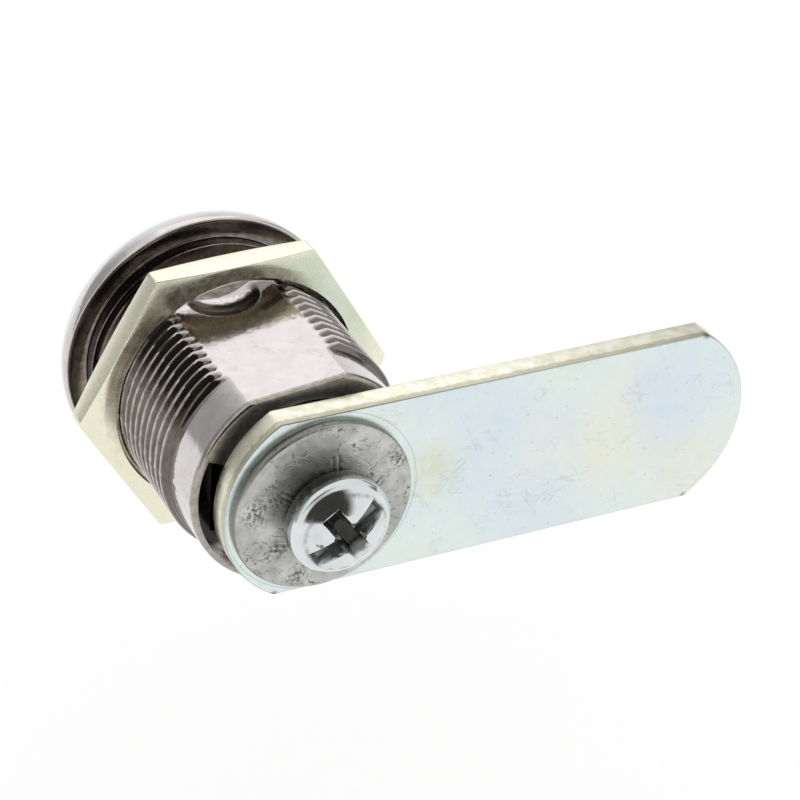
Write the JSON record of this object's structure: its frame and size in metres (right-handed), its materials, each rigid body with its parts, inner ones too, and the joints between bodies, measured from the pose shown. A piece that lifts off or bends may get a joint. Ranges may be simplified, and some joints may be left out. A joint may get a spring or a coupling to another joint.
{
  "type": "cam lock",
  "caption": "Cylinder cam lock with a domed head, a threaded body with two flats, a thin hex nut and a straight flat cam held by a washer and a screw with a combined slot and cross.",
  "frame": {"origin": "on the lock's axis, in the plane where the head's rim meets the panel", "axes": "+Y out of the panel towards the key side, -Y back along the cylinder to the cam, +X along the cam, +Z square to the flats"},
  "size_m": [0.0481, 0.0317, 0.0228],
  "materials": {
    "bright_nickel": "bright nickel plate on die-cast zinc",
    "plug_nickel": "nickel plate on die-cast zinc",
    "yellow_zinc": "pale yellow passivated zinc plate on steel",
    "blue_zinc": "blue and yellow passivated zinc plate on steel",
    "tumbled_steel": "dull tumbled zinc plate on steel",
    "bright_zinc": "bright zinc plate on steel",
    "plain_steel": "plain blanked steel",
    "brass": "blanked brass",
    "spring_steel": "drawn spring wire"
  },
  "bodies": {
    "housing": {"housing": "bright_nickel"},
    "plug": {"plug": "plug_nickel", "stop_plate": "plain_steel", "cam": "blue_zinc", "cam_washer": "tumbled_steel", "cam_screw": "bright_zinc", "wafer_spring_1": "spring_steel", "wafer_spring_2": "spring_steel", "wafer_spring_3": "spring_steel", "wafer_spring_4": "spring_steel", "wafer_spring_5": "spring_steel", "wafer_spring_6": "spring_steel", "wafer_spring_7": "spring_steel"},
    "nut": {"hex_nut": "yellow_zinc"},
    "wafer_1": {"wafer_1": "brass"},
    "wafer_2": {"wafer_2": "brass"},
    "wafer_3": {"wafer_3": "brass"},
    "wafer_4": {"wafer_4": "brass"},
    "wafer_5": {"wafer_5": "brass"},
    "wafer_6": {"wafer_6": "brass"},
    "wafer_7": {"wafer_7": "brass"}
  },
  "joints": [
    {"name": "plug_turn", "type": "hinge", "parent": "housing", "child": "plug", "pos_m": [0, 0, 0], "axis": [0, 1, 0], "range_deg": [0, 90]},
    {"name": "nut_run", "type": "slide", "parent": "housing", "child": "nut", "axis": [0, -1, 0], "range_m": [-0.0036, 0.0085]},
    {"name": "wafer_1_slide", "type": "slide", "parent": "plug", "child": "wafer_1", "axis": [0.9945, 0, -0.1045], "range_m": [-0.0006, 0], "deforming": ["wafer_spring_1"]},
    {"name": "wafer_2_slide", "type": "slide", "parent": "plug", "child": "wafer_2", "axis": [-0.9945, 0, 0.1045], "range_m": [-0.0006, 0], "deforming": ["wafer_spring_2"]},
    {"name": "wafer_3_slide", "type": "slide", "parent": "plug", "child": "wafer_3", "axis": [0.9945, 0, -0.1045], "range_m": [-0.0006, 0], "deforming": ["wafer_spring_3"]},
    {"name": "wafer_4_slide", "type": "slide", "parent": "plug", "child": "wafer_4", "axis": [-0.9945, 0, 0.1045], "range_m": [-0.0006, 0], "deforming": ["wafer_spring_4"]},
    {"name": "wafer_5_slide", "type": "slide", "parent": "plug", "child": "wafer_5", "axis": [0.9945, 0, -0.1045], "range_m": [-0.0006, 0], "deforming": ["wafer_spring_5"]},
    {"name": "wafer_6_slide", "type": "slide", "parent": "plug", "child": "wafer_6", "axis": [-0.9945, 0, 0.1045], "range_m": [-0.0006, 0], "deforming": ["wafer_spring_6"]},
    {"name": "wafer_7_slide", "type": "slide", "parent": "plug", "child": "wafer_7", "axis": [0.9945, 0, -0.1045], "range_m": [-0.0006, 0], "deforming": ["wafer_spring_7"]}
  ]
}
